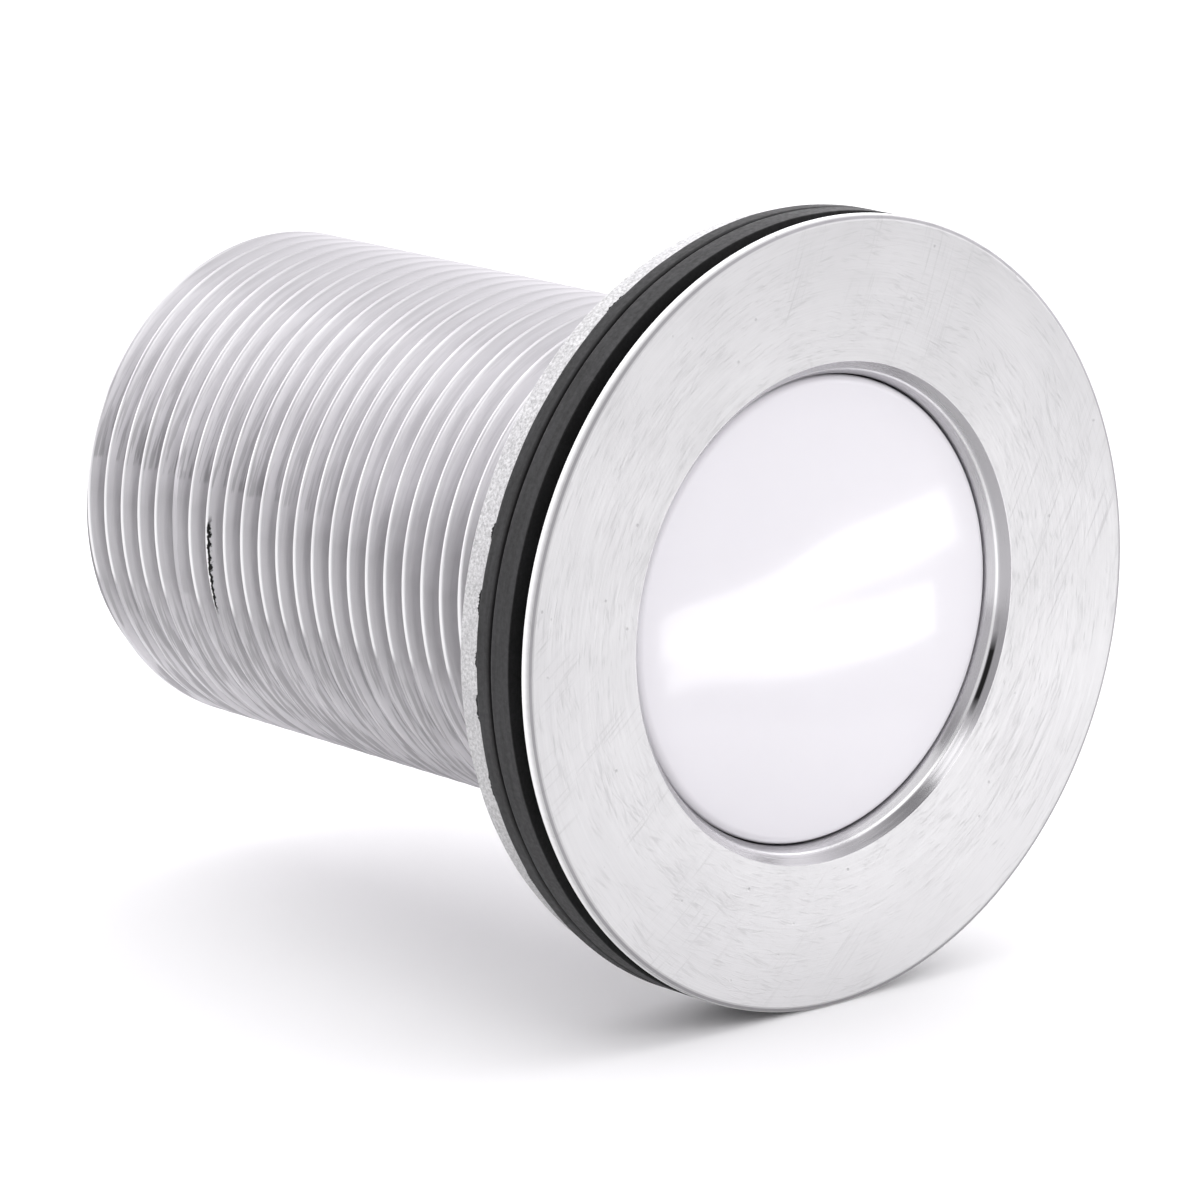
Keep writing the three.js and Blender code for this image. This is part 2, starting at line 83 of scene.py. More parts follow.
# Sizes that the CAD model shares, and that no node's box shows
THREAD_DIAMETER = 41.91
THREAD_PITCH = 2.309
THREAD_DEPTH = 0.6403 * THREAD_PITCH
THREAD_START = -1.5
WALL = 2.28
HEAD_WALL = 2.095
TAIL_STEP = 1.2
LIP_CHAMFER = (0.685, 0.77)
LIP_TAPER = (0.54, 1.13)
DISH = 1.0
FLANGE_ROOT = 2.1
RIM_CHAMFER = (0.49, 0.15)
RIM_DRAFT = 0.07
RIM_SIDE = 0.8
RIM_TAPER = 2.55
SEAT_DEPTH = 5.2
SEAT_LENGTH = 2.5
CLIP_GROOVE = 1.0
GAP = 0.3
STEM_RADIUS = 3.0
STEM_FLAT = 0.86 * STEM_RADIUS
THREADED_END_RADIUS = STEM_RADIUS - 0.6
PIN_RADIUS = STEM_RADIUS - 1
BOSS_RADIUS = STEM_RADIUS + 2
SPIGOT_RADIUS = 2.85
BARREL_WALL = 1.4
RIBS = 4
RIB_HALF_ANGLE = 0.1
SLOT_HALF_ANGLE = 0.17
NOTCHES = 8
NOTCH_DEPTH = 0.7
INDEX_ANGLE = math.pi / 4
STROKE = 8.0


def span(node):
    """A node's outboard and inboard stations and its outer radius, in millimetres."""
    low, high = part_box(node)
    return low.y / MM, high.y / MM, high.x / MM


face, tube_end, rim_radius = span("hull_body")
washer_front, washer_back, washer_radius = span("backing_washer")
gasket_front, gasket_back, gasket_radius = span("outer_gasket")
inner_front, inner_back, inner_radius = span("inner_gasket")
cap_front, cap_back, cap_radius = span("plug_cap")
carrier_front, boss_end, carrier_radius = span("plug_carrier")
seal_front, seal_back, seal_radius = span("plug_seal")
clamp_front, clamp_back, clamp_radius = span("seal_clamp")
locknut_front, locknut_back, _ = span("stem_locknut")
stem_front, pin_end, rotor_core = span("plunger")
rotor_front, rotor_back, rib_radius = span("cam_rotor")
sleeve_front, sleeve_back, sleeve_outer = span("cam_sleeve")
spring_front, spring_back, spring_outer = span("return_spring")
barrel_front, spigot_end, barrel_radius = span("cartridge_barrel")
bush_front, bush_end, _ = span("barrel_bush")
wiper_front, wiper_back, wiper_outer = span("stem_wiper")
bridge_front, bridge_back, bridge_radius = span("bridge")
clip_front, clip_back, _ = span("bridge_clip")
hub_washer_front, hub_washer_back, hub_washer_radius = span("hub_washer")
hub_nut_front, hub_nut_back, _ = span("hub_nut")

crest_radius = THREAD_DIAMETER / 2
root_radius = crest_radius - THREAD_DEPTH
bore_radius = root_radius - WALL
tail_bore_radius = bore_radius - TAIL_STEP
head_bore_radius = crest_radius - HEAD_WALL
lip_radius = head_bore_radius + LIP_TAPER[0]
mouth_radius = lip_radius + LIP_CHAMFER[0]
flange_back = face + FLANGE_ROOT
seat_top = face + SEAT_DEPTH
seat_end = seat_top + SEAT_LENGTH
scratch_middle = tube_end - 17.95
worn_middle = tube_end - 13.12


# ---------------------------------------------------------------- turned meshes


def all_round(columns):
    return np.linspace(0, 2 * math.pi, columns + 1)


def plain(points, material=0):
    """Rows of a turned surface that are the same all round."""
    return [(np.float64(r), np.float64(y), material) for r, y in points]


def softened(points, radius, steps=3, closed=False):
    """An outline with its corners rounded. Corners on the axis and the ends of an open one stay sharp."""
    result = []
    last = len(points) - 1
    nearly_straight = math.radians(8)
    for k, point in enumerate(points):
        here = Vector(point)
        before = Vector(points[k - 1]) - here
        after = Vector(points[(k + 1) % len(points)]) - here
        at_end = not closed and k in (0, last)
        turn = math.pi - before.angle(after)
        if at_end or here.x < NEAR or turn < nearly_straight:
            result.append(tuple(here))
            continue
        cut = min(radius * math.tan(turn / 2), 0.45 * before.length, 0.45 * after.length)
        start = here + before.normalized() * cut
        end = here + after.normalized() * cut
        for i in range(steps + 1):
            t = i / steps
            result.append(tuple(start * (1 - t) ** 2 + here * 2 * t * (1 - t) + end * t**2))
    return result


def rounded_form(distance, pitch, depth):
    """Height above the root of a 55 degree thread with round crests and roots, by distance from a crest."""
    half_angle = math.radians(27.5)
    round_per_pitch = 0.1373
    radius = round_per_pitch * pitch
    reach = radius * math.cos(half_angle)
    to_root = pitch / 2 - distance
    crest = depth - radius + np.sqrt(np.maximum(radius**2 - distance**2, 0))
    root = radius - np.sqrt(np.maximum(radius**2 - to_root**2, 0))
    flank = depth / 2 + (pitch / 4 - distance) / math.tan(half_angle)
    return np.where(distance < reach, crest, np.where(to_root < reach, root, flank))


def thread(crest, depth, pitch, start, end, angles, material=0, chamfer=0.0, wear=None, shift=0.0):
    """Rows of a helical thread between two stations, cut square at both. They crowd at crests and roots."""
    close = 0.04 * np.arange(-3, 4)
    shares = sorted(np.mod(np.concatenate([close, 0.5 + close, [0.25, 0.75]]), 1.0))
    turns = math.ceil((end - start) / pitch)
    lead = angles / (2 * math.pi) * pitch + shift
    rows = []
    for turn in range(-2, turns + 1):
        for share in shares:
            y = np.clip(start + (turn + share) * pitch + lead, start, end)
            phase = np.mod((y - start - lead) / pitch, 1.0)
            radius = crest - depth + rounded_form(np.abs(phase - 0.5) * pitch, pitch, depth)
            if wear is not None:
                radius = wear(radius, y)
            if chamfer:
                radius = np.minimum(radius, crest - chamfer + np.maximum(end - y, 0))
            rows.append((radius, y, material))
    return rows


def turned(name, rows, columns, warp=None):
    """A closed surface turned about Y from rows of radius and station, with a material index for each row."""
    angles = all_round(columns)
    radius = np.array([np.broadcast_to(row[0], angles.shape) for row in rows])
    y = np.array([np.broadcast_to(row[1], angles.shape) for row in rows])
    if warp is not None:
        radius, y = warp(radius, y, np.broadcast_to(angles, radius.shape))
    points = np.stack([radius * np.sin(angles), y, radius * np.cos(angles)], axis=-1)
    count = len(rows)
    keys = np.round(points.reshape(-1, 3), 4) + 0.0
    _, first, alias = np.unique(keys, axis=0, return_index=True, return_inverse=True)
    alias = alias.reshape(count, columns + 1)
    faces = []
    slots = []
    for j in range(count):
        k = (j + 1) % count
        for i in range(columns):
            corners = [alias[j, i], alias[k, i], alias[k, i + 1], alias[j, i + 1]]
            face_loop = [int(c) for n, c in enumerate(corners) if c != corners[n - 1]]
            if len(face_loop) >= 3 and len(set(face_loop)) == len(face_loop):
                faces.append(face_loop)
                slots.append(rows[j][2])
    return made_mesh(name, points.reshape(-1, 3)[first], faces, slots)


def closed_turn(name, corners, soft, columns=MEDIUM, warp=None):
    """A turned piece from the corners of a closed outline, which are rounded."""
    return turned(name, plain(softened(corners, soft, closed=True)), columns, warp)


def made_mesh(name, points, faces, slots=None, sharp_angle=38):
    mesh = bpy.data.meshes.new(name)
    mesh.from_pydata((np.asarray(points) * MM).tolist(), [], faces)
    if slots is not None:
        mesh.polygons.foreach_set("material_index", np.array(slots, dtype=np.int32))
    mesh.polygons.foreach_set("use_smooth", np.ones(len(faces), dtype=bool))
    mesh.set_sharp_from_angle(angle=math.radians(sharp_angle))
    mesh.update()
    piece = bpy.data.objects.new(name, mesh)
    bpy.context.collection.objects.link(piece)
    normals = piece.modifiers.new("face weighted normals", "WEIGHTED_NORMAL")
    normals.keep_sharp = True
    return piece


def united(base, *others):
    """Joins solids into base with a boolean, and applies it."""
    for other in others:
        join = base.modifiers.new("join", "BOOLEAN")
        join.operation = "UNION"
        join.solver = "EXACT"
        join.object = other
    base.modifiers.move(0, len(base.modifiers) - 1)
    bpy.context.view_layer.objects.active = base
    for other in others:
        bpy.ops.object.modifier_apply(modifier=base.modifiers[0].name)
    for other in others:
        bpy.data.objects.remove(other)
    return base


def block(name, size, centre, turn):
    """A rectangular bar, turned about Y."""
    corners = [(x, y, z) for x in (-0.5, 0.5) for y in (-0.5, 0.5) for z in (-0.5, 0.5)]
    cos, sin = math.cos(turn), math.sin(turn)
    points = []
    for corner in corners:
        x, y, z = (share * side + middle for share, side, middle in zip(corner, size, centre))
        points.append((x * cos + z * sin, y, z * cos - x * sin))
    faces = [(0, 1, 3, 2), (4, 6, 7, 5), (0, 4, 5, 1), (2, 3, 7, 6), (0, 2, 6, 4), (1, 5, 7, 3)]
    return made_mesh(name, points, faces)


def finished(piece, body, node, slot, *materials):
    for material in materials:
        piece.data.materials.append(material)
    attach(piece, body)
    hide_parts(node)
    return piece


# ---------------------------------------------------------------- materials


class Nodes:
    """A tree of shader nodes, with short calls for making them."""

    def __init__(self, tree, place):
        self.tree = tree
        self.place = self.node("ShaderNodeTexCoord").outputs[place]

    def set(self, node, inputs):
        for key, value in inputs.items():
            socket = node.inputs[key if isinstance(key, int) else key.replace("_", " ")]
            if isinstance(value, bpy.types.NodeSocket):
                self.tree.links.new(value, socket)
            else:
                socket.default_value = value

    def node(self, kind, inputs=None, **settings):
        made = self.tree.nodes.new(kind)
        for key, value in settings.items():
            setattr(made, key, value)
        self.set(made, inputs or {})
        return made

    def math(self, operation, first, second=0.0):
        return self.node("ShaderNodeMath", {0: first, 1: second}, operation=operation).outputs[0]

    def product(self, first, second):
        return self.math("MULTIPLY", first, second)

    def noise(self, vector, scale, detail=4.0, rough=0.55):
        inputs = {"Vector": vector, "Scale": scale, "Detail": detail, "Roughness": rough}
        return self.node("ShaderNodeTexNoise", inputs).outputs["Fac"]

    def specks(self, scale, solid, gone):
        """1 in small scattered spots, that fade out between two distances from their middles."""
        spots = self.node("ShaderNodeTexVoronoi", {"Vector": self.place, "Scale": scale})
        return self.range(spots.outputs["Distance"], solid, gone, 1, 0)

    def range(self, value, low, high, to_low=0.0, to_high=1.0):
        inputs = {0: value, 1: low, 2: high, 3: to_low, 4: to_high}
        return self.node("ShaderNodeMapRange", inputs, clamp=True).outputs[0]

    def spread(self, noise, to_low, to_high):
        """The middle of a noise's range, where nearly all of it lies, drawn out between two values."""
        return self.range(noise, 0.3, 0.7, to_low, to_high)

    def mix(self, factor, first, second):
        inputs = {0: factor, 6: first, 7: second}
        return self.node("ShaderNodeMix", inputs, data_type="RGBA").outputs[2]

    def vector(self, operation, first, second=(0, 0, 0)):
        return self.node("ShaderNodeVectorMath", {0: first, 1: second}, operation=operation)

    def split(self, vector):
        """A vector's three parts."""
        return self.node("ShaderNodeSeparateXYZ", {0: vector}).outputs


class Surface(Nodes):
    """A Principled material. Places on it are the fitting's own, in metres."""

    def __init__(self, name, **sockets):
        self.material = bpy.data.materials.new(name)
        self.material.use_nodes = True
        super().__init__(self.material.node_tree, "Object")
        self.shader = self.tree.nodes["Principled BSDF"]
        self.set(self.shader, sockets)

    def marks(self, across, along, detail=3.0, rough=0.55, by_station=True, centre=(0.0, 0.0)):
        """Noise in lines that turn round a centre. It changes quickly across them and slowly along them."""
        moved = self.vector("ADD", self.place, (-centre[0] * MM, 0, -centre[1] * MM)).outputs[0]
        flat = self.vector("MULTIPLY", moved, (1, 0, 1)).outputs[0]
        radius = self.vector("LENGTH", flat).outputs["Value"]
        outward = self.split(self.vector("NORMALIZE", flat).outputs[0])
        quick = self.product(self.split(moved)[1] if by_station else radius, across)
        slow_x = self.product(outward[0], along)
        slow_z = self.product(outward[2], along)
        place = self.node("ShaderNodeCombineXYZ", {0: quick, 1: slow_x, 2: slow_z}).outputs[0]
        return self.noise(place, 1.0, detail, rough)

    def axis_distance(self):
        """The distance from the fitting's axis, in metres."""
        flat = self.vector("MULTIPLY", self.place, (1, 0, 1)).outputs[0]
        return self.vector("LENGTH", flat).outputs["Value"]

    def rising(self, value, low, high, to_low=0.0, to_high=1.0):
        """Goes from one level to another between two limits in millimetres, of a value in metres."""
        return self.range(value, low * MM, high * MM, to_low, to_high)

    def band(self, value, low, high, edge):
        """1 between two limits, 0 outside them, with soft edges, all in millimetres of a value in metres."""
        return self.product(self.rising(value, low - edge, low), self.rising(value, high, high + edge, 1, 0))

    def wandering(self, value, noise, reach):
        """A value in metres, moved to and fro over a reach in millimetres."""
        return self.math("ADD", value, self.product(self.math("SUBTRACT", noise, 0.5), reach * MM))

    def bump(self, height, depth, strength=1.0, under=None):
        """Bump of a given depth in millimetres. A bump under it keeps its shape."""
        inputs = {"Height": height, "Distance": depth * MM, "Strength": strength}
        if under is not None:
            inputs["Normal"] = under
        return self.node("ShaderNodeBump", inputs).outputs[0]

    def done(self, **sockets):
        self.set(self.shader, sockets)
        return self.material


def grey(level, tint=(1.0, 1.0, 1.0)):
    return (level * tint[0], level * tint[1], level * tint[2], 1.0)


LILAC = (0.998, 0.985, 1.01)
PALE = (0.998, 0.994, 1.0)
SCUFF_CENTRES = ((0.0, 0.0), (5.0, -3.0), (-4.0, 6.0), (-60.0, 45.0))

# Heights above the axis, in millimetres, between which the thread's painted light and shade, its scoring and
# its blackened scratch change
PAINTED_LIFT_HEIGHTS = (-10.0, 10.0)
PAINTED_SHADE_HEIGHTS = (-6.0, 2.0)
PAINTED_HIGHLIGHT_HEIGHTS = (-5.2, 9.0)
BLACKENED = (-5.6, 1.4)
SCORED = (-8.0, -5.0)
PAINTED_SHADE_EDGE = (4.3, 4.6)
PAINTED_SHADE_FADE = (5.0, 13.0)
PAINTED_TOP_SHADE_HEIGHTS = (17.5, 20.8)

# Stations on the tube, in millimetres, over which the painted shade in the upper roots sets in
PAINTED_SHADE_STATIONS = (22.0, 42.0)


def satin_face():
    """The flange: turned, then scuffed by hand, light grey and half matt. Its lower half is painted lighter
    against shade, its rim's side carries a painted highlight and its chamfer a painted dark reflection.
    """
    g = Surface("satin scuffed aluminium", Metallic=1.0)
    rings = g.marks(across=9000, along=3.0, rough=0.6, by_station=False)
    broad = g.noise(g.place, 90.0, 3.0)
    scuff = 0.0
    for centre in SCUFF_CENTRES:
        lines = g.marks(across=5200, along=13.0, detail=2.0, rough=0.5, by_station=False, centre=centre)
        patch = g.marks(across=260, along=5.0, detail=1.0, by_station=False, centre=centre)
        scuff = g.math("MAXIMUM", scuff, g.product(g.range(lines, 0.56, 0.7), g.range(patch, 0.45, 0.6)))
    pit = g.specks(scale=420.0, solid=0.03, gone=0.07)
    radius = g.axis_distance()
    # Painted light: the face is painted lighter towards the bottom, against the shade near the floor.
    painted_light_low = g.rising(g.split(g.place)[2], -rim_radius, 0, 0.7, 0)
    # Painted highlight: the rim's narrow side is painted near white.
    painted_rim_highlight = g.rising(radius, rim_radius - 0.07, rim_radius - 0.03)
    # Painted reflection: a dark grey line along the rim's chamfer.
    painted_chamfer_reflection = g.band(radius, rim_radius - 0.34, rim_radius - 0.16, 0.05)
    colour = g.mix(g.spread(broad, 0, 1), grey(0.49, PALE), grey(0.53, PALE))
    colour = g.mix(painted_light_low, colour, grey(0.60, PALE))
    colour = g.mix(g.product(scuff, 0.2), colour, grey(0.42))
    colour = g.mix(g.product(pit, 0.5), colour, grey(0.3))
    colour = g.mix(painted_rim_highlight, colour, grey(0.86))
    colour = g.mix(painted_chamfer_reflection, colour, grey(0.33, LILAC))
    rough = g.math("ADD", g.spread(rings, 0.42, 0.56), g.product(scuff, 0.12))
    bump = g.bump(rings, 0.012, 0.5)
    bump = g.bump(scuff, 0.008, 0.5, bump)
    bump = g.bump(pit, -0.03, 0.7, bump)
    return g.done(Base_Color=colour, Roughness=rough, Normal=bump)


def polished_mouth():
    """The mouth's lip and wall: polished, with fine marks round it, painted shade on the lip's chamfer, a
    painted highlight line and a painted dark reflection low on the right.
    """
    g = Surface("polished aluminium", Metallic=1.0)
    rings = g.marks(across=6000, along=2.0)
    broad = g.noise(g.place, 160.0, 3.0)
    radius = g.axis_distance()
    place = g.split(g.place)
    # Painted shade: the lip's chamfer, outside the straight wall, is painted darker.
    outer = g.rising(radius, lip_radius - 0.02, lip_radius + 0.12)
    # Painted highlight: a thin bright ring just inside the lip.
    painted_highlight_line = g.band(radius, lip_radius - 0.1, lip_radius - 0.03, 0.04)
    low_down = g.band(place[2], -0.48 * mouth_radius, -0.3 * mouth_radius, 1.6)
    low_right = g.product(low_down, g.rising(place[0], 0, 1))
    # Painted reflection: a near-black streak on the lip, low on the right.
    painted_dark_reflection = g.product(g.band(radius, lip_radius + 0.06, lip_radius + 0.26, 0.08), low_right)
    colour = g.mix(broad, grey(0.48, LILAC), grey(0.58, LILAC))
    colour = g.mix(outer, colour, grey(0.38, LILAC))
    colour = g.mix(painted_dark_reflection, colour, grey(0.02))
    colour = g.mix(painted_highlight_line, colour, grey(0.85))
    rough = g.spread(rings, 0.16, 0.3)
    return g.done(Base_Color=colour, Roughness=rough, Normal=g.bump(rings, 0.006, 0.7))


def blackened_scratch(g, place):
    """1 on a ragged line along one crest, over the short stretch that a knock has blackened."""
    station = g.wandering(place[1], g.noise(g.place, 2500.0, 3.0), 0.4)
    line = g.band(station, scratch_middle - 0.07, scratch_middle + 0.07, 0.05)
    stretch = g.product(g.band(place[2], *BLACKENED, 0.8), g.rising(place[0], -1, 0, 1, 0))
    return g.product(line, stretch)


def thread_metal():
    """The threads: cut, with painted highlights on their crests, painted shade in their roots and bands of
    painted light and shade by height.
    """
    g = Surface("cut thread aluminium", Metallic=1.0, Specular_Tint=grey(0.5))
    marks = g.marks(across=7000, along=3.0)
    broad = g.noise(g.place, 110.0, 4.0)
    radius = g.axis_distance()
    place = g.split(g.place)
    height = place[2]
    crest = g.rising(radius, crest_radius - 0.1, crest_radius - 0.02)
    root = g.rising(radius, root_radius, root_radius + 0.45, 1, 0)
    # Painted shade: a wandering band round the tube's middle height is painted darker.
    painted_shade_band = g.band(g.wandering(height, broad, 8.0), *PAINTED_SHADE_HEIGHTS, 7.0)
    # Painted highlight: the crests are painted bright over a band of heights.
    painted_crest_highlight = g.product(crest, g.band(height, *PAINTED_HIGHLIGHT_HEIGHTS, 1.0))
    # Painted shade: the roots are painted darker, most in a band above the middle height that grows towards
    # the inboard end.
    painted_upper_shade = g.product(g.rising(height, *PAINTED_SHADE_EDGE), g.rising(height, *PAINTED_SHADE_FADE, 1, 0))
    painted_upper_shade = g.product(painted_upper_shade, g.rising(place[1], *PAINTED_SHADE_STATIONS, 0, 0.45))
    painted_root_shade = g.product(root, g.math("ADD", painted_upper_shade, 0.15))
    # Fine scoring, strongest low down, with dark lines painted as reflection in the upper band.
    scoring_and_painted_lines = g.math("ADD", g.rising(height, *SCORED, 0.5, 0.12), painted_upper_shade)
    scoring_and_painted_lines = g.product(g.range(marks, 0.44, 0.52, 1, 0), scoring_and_painted_lines)
    # Painted light: the base colour is a little lighter on the lower side, against the shade there.
    colour = g.mix(g.rising(height, *PAINTED_LIFT_HEIGHTS), grey(0.76, LILAC), grey(0.74, LILAC))
    colour = g.mix(painted_shade_band, colour, grey(0.48, LILAC))
    colour = g.mix(painted_root_shade, colour, grey(0.26, LILAC))
    colour = g.mix(scoring_and_painted_lines, colour, grey(0.26, LILAC))
    colour = g.mix(painted_crest_highlight, colour, grey(0.8))
    # Painted shade: the top of the tube is painted darker, so its edge shows against the bright surround.
    colour = g.mix(g.rising(height, *PAINTED_TOP_SHADE_HEIGHTS, 0, 0.7), colour, grey(0.34, LILAC))
    colour = g.mix(blackened_scratch(g, place), colour, grey(0.015))
    rough = g.spread(marks, 0.32, 0.44)
    return g.done(Base_Color=colour, Roughness=rough, Normal=g.bump(marks, 0.012, 0.6))


def bore_metal():
    """The bore: coarser turning marks and a faint stain."""
    g = Surface("bored aluminium", Metallic=1.0)
    marks = g.marks(across=3500, along=2.0, detail=4.0)
    stain = g.noise(g.place, 120.0, 5.0)
    colour = g.mix(g.range(stain, 0.35, 0.7), grey(0.62, LILAC), grey(0.46, LILAC))
    rough = g.spread(marks, 0.34, 0.52)
    return g.done(Base_Color=colour, Roughness=rough, Normal=g.bump(marks, 0.02, 0.6))


def cast_metal():
    """The washer: a grainy blasted surface that sparkles a little."""
    g = Surface("blasted aluminium", Metallic=1.0)
    grain = g.noise(g.place, 4200.0, 3.0, 0.7)
    lumps = g.noise(g.place, 1100.0, 3.0)
    broad = g.noise(g.place, 160.0, 3.0)
    colour = g.mix(g.range(grain, 0.35, 0.65), grey(0.42), grey(0.64))
    colour = g.mix(g.range(broad, 0.4, 0.7, 0, 0.4), colour, grey(0.45, LILAC))
    rough = g.spread(grain, 0.65, 0.35)
    bump = g.bump(lumps, 0.06, 0.6)
    bump = g.bump(grain, 0.05, 0.8, bump)
    return g.done(Base_Color=colour, Roughness=rough, Normal=bump)


def glaze():
    """White glaze: clean gloss over an uneven, faintly speckled body."""
    g = Surface("white glaze", Specular_IOR_Level=0.55, Coat_Weight=0.9, Coat_Roughness=0.07)
    depths = (0.9, 0.9, 1.0)
    g.set(g.shader, {"Subsurface Weight": 0.08, "Subsurface Radius": depths, "Subsurface Scale": 1.2 * MM})
    broad = g.noise(g.place, 70.0, 3.0)
    fine = g.noise(g.place, 900.0, 3.0)
    speck = g.specks(scale=240.0, solid=0.015, gone=0.035)
    colour = g.mix(broad, (0.655, 0.643, 0.672, 1), (0.675, 0.663, 0.69, 1))
    colour = g.mix(g.product(speck, 0.25), colour, (0.6, 0.57, 0.52, 1))
    rough = g.spread(broad, 0.10, 0.14)
    bump = g.bump(broad, 0.02, 0.4)
    bump = g.bump(fine, 0.002, 0.5, bump)
    return g.done(Base_Color=colour, Roughness=rough, Normal=bump)


def rubber(name, low, high):
    """Moulded rubber: matt, with fine grain, drag marks round it and a little dust."""
    g = Surface(name, Specular_IOR_Level=0.35)
    grain = g.noise(g.place, 2600.0, 3.0, 0.65)
    drag = g.marks(across=2200, along=5.0)
    dust = g.noise(g.place, 900.0, 6.0, 0.75)
    colour = g.mix(g.range(drag, 0.35, 0.65), grey(low), grey(high, (1, 1, 1.03)))
    colour = g.mix(g.range(dust, 0.66, 0.78, 0, 0.35), colour, grey(0.22))
    rough = g.spread(grain, 0.55, 0.8)
    bump = g.bump(drag, 0.02, 0.5)
    bump = g.bump(grain, 0.015, 0.6, bump)
    return g.done(Base_Color=colour, Roughness=rough, Normal=bump)


def machined(name, light, dark, rough_low, rough_high):
    """Turned metal with fine marks round it and a faint tarnish."""
    g = Surface(name, Metallic=1.0)
    marks = g.marks(across=4500, along=2.5)
    tarnish = g.noise(g.place, 180.0, 5.0, 0.6)
    colour = g.mix(g.range(tarnish, 0.4, 0.72), light, dark)
    rough = g.spread(marks, rough_low, rough_high)
    return g.done(Base_Color=colour, Roughness=rough, Normal=g.bump(marks, 0.01, 0.5))


def acetal(name, light, dark):
    """Moulded plastic with a fine orange peel."""
    g = Surface(name, Specular_IOR_Level=0.45)
    peel = g.noise(g.place, 1500.0, 2.0)
    broad = g.noise(g.place, 150.0, 3.0)
    colour = g.mix(broad, light, dark)
    rough = g.spread(peel, 0.38, 0.52)
    return g.done(Base_Color=colour, Roughness=rough, Normal=g.bump(peel, 0.006, 0.6))


def floor_paint():
    """A pale matt floor, very faintly mottled."""
    g = Surface("pale floor", Roughness=0.9, Specular_IOR_Level=0.1)
    mottle = g.noise(g.place, 6.0, 3.0)
    return g.done(Base_Color=g.mix(mottle, grey(0.93), grey(0.95)))


SATIN = satin_face()
POLISHED = polished_mouth()
THREADED = thread_metal()
BORED = bore_metal()
CAST = cast_metal()
GLAZE = glaze()
RUBBER = rubber("moulded gasket rubber", 0.022, 0.033)
SEAL_RUBBER = rubber("moulded seal rubber", 0.018, 0.028)
# Rubber painted near black as shade, for the gap behind the flange and the edge where gasket meets washer.
SHADE_BLACK_RUBBER = rubber("painted shade black rubber", 0.004, 0.008)
BRASS = machined("turned brass", (0.78, 0.58, 0.28, 1), (0.55, 0.38, 0.17, 1), 0.22, 0.38)
STEEL = machined("bright steel", (0.62, 0.62, 0.63, 1), (0.42, 0.42, 0.44, 1), 0.2, 0.34)
ACETAL = acetal("white acetal", (0.78, 0.77, 0.73, 1), (0.72, 0.70, 0.66, 1))
GREY_ACETAL = acetal("grey acetal", (0.20, 0.21, 0.235, 1), (0.16, 0.17, 0.19, 1))


# ---------------------------------------------------------------- the body


def worn_crest(radius, y):
    """One crest near the tube's end is rubbed down on its seen side."""
    angles = all_round(FINE)
    middle = math.radians(270)
    half_width = math.radians(19)
    depth = 0.3
    share = np.clip(1 - np.abs(angles - middle) / half_width, 0, 1)
    lift = np.clip(1 - np.abs(y - worn_middle) / (0.6 * THREAD_PITCH), 0, 1)
    cap = crest_radius - depth * np.sqrt(share) * np.clip(3 * lift, 0, 1)
    return np.minimum(radius, cap)


def flange_outline():
    """The flange: its back, a taper, a straight side, a chamfer and the dished face."""
    corners = [
        (crest_radius, flange_back),
        (rim_radius - RIM_TAPER, flange_back),
        (rim_radius, face + RIM_SIDE),
        (rim_radius - RIM_DRAFT, face + RIM_CHAMFER[1]),
        (rim_radius - RIM_CHAMFER[0], face),
        (mouth_radius + 0.04, face + DISH * 0.995),
    ]
    return softened(corners, 0.05)


def mouth_outline():
    """The mouth: a chamfered lip, a tapered entry, a straight wall and the seal's conical seat."""
    lip_front = face + DISH
    lip_middle = lip_front + LIP_CHAMFER[1]
    lip_end = lip_middle + LIP_TAPER[1]
    corners = [
        (mouth_radius, lip_front),
        (mouth_radius - LIP_CHAMFER[0], lip_middle),
        (head_bore_radius + 0.03, lip_end - 0.2),
        (head_bore_radius, lip_end),
        (head_bore_radius, seat_top),
        (bore_radius, seat_end),
    ]
    return softened(corners, 0.35, 5)


def bore_outline():
    """The bore: the clip's groove, the ledge that carries the bridge and a chamfer at the tube's end."""
    groove_radius = bore_radius + CLIP_GROOVE
    ledge = bridge_back + GAP
    chamfer = 0.5
    corners = [
        (bore_radius, clip_front - GAP),
        (groove_radius, clip_front - GAP),
        (groove_radius, clip_back + GAP),
        (bore_radius, clip_back + GAP),
        (bore_radius, ledge),
        (tail_bore_radius, ledge),
        (tail_bore_radius, tube_end - chamfer),
        (tail_bore_radius + chamfer, tube_end),
    ]
    return softened(corners, 0.12)


def hull_body():
    """The flange and the threaded tube, one closed outline with a thread on its outside."""
    satin, polished, threaded, bored = range(4)
    angles = all_round(FINE)
    form = (crest_radius, THREAD_DEPTH, THREAD_PITCH, THREAD_START, tube_end)
    cut = thread(*form, angles, threaded, chamfer=0.75, wear=worn_crest, shift=-1.0)
    rows = plain(flange_outline(), satin)
    rows += plain(mouth_outline(), polished)
    rows += plain(bore_outline(), bored)
    rows += plain([(root_radius - 0.05, tube_end)], satin)
    rows += cut[::-1]
    shank_front = THREAD_START - 1.4
    rows += plain([(crest_radius, THREAD_START), (crest_radius, shank_front)], threaded)
    piece = turned("hull_body_fine", rows[::-1], FINE)
    return finished(piece, "housing", "hull_body", "turned_metal", SATIN, POLISHED, THREADED, BORED)


# ---------------------------------------------------------------- gaskets and washer


def ring_piece(name, inner, outer, front, back, soft, columns=FINE, warp=None):
    corners = [(inner, front), (outer, front), (outer, back), (inner, back)]
    return closed_turn(name, corners, soft, columns, warp)


